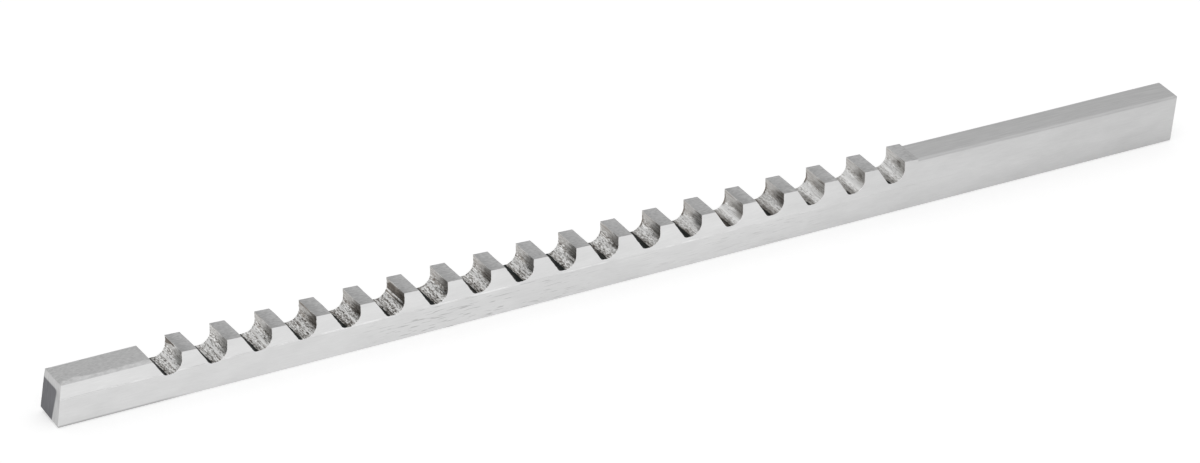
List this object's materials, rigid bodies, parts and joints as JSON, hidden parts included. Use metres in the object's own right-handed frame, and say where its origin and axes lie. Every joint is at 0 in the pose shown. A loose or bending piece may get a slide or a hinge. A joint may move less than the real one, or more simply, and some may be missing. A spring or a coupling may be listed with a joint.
{
  "type": "keyway broach",
  "caption": "Straight push-type keyway broach: a slim ground steel bar with a plain pilot, a row of slowly rising hooked teeth with round gullets, and a plain shank that a press pushes on.",
  "frame": {"origin": "middle of the flat back, which the broach lies on with its teeth up", "axes": "+X runs along the bar from the pilot to the press end, so the broach cuts towards -X; +Y runs across its width; +Z points from the back to the cutting edges"},
  "size_m": [0.127, 0.0032, 0.0055],
  "materials": {
    "ground_steel": "surface-ground high-speed steel, satin, with rougher grey gullets"
  },
  "bodies": {
    "root": {"broach": "ground_steel"}
  },
  "joints": []
}
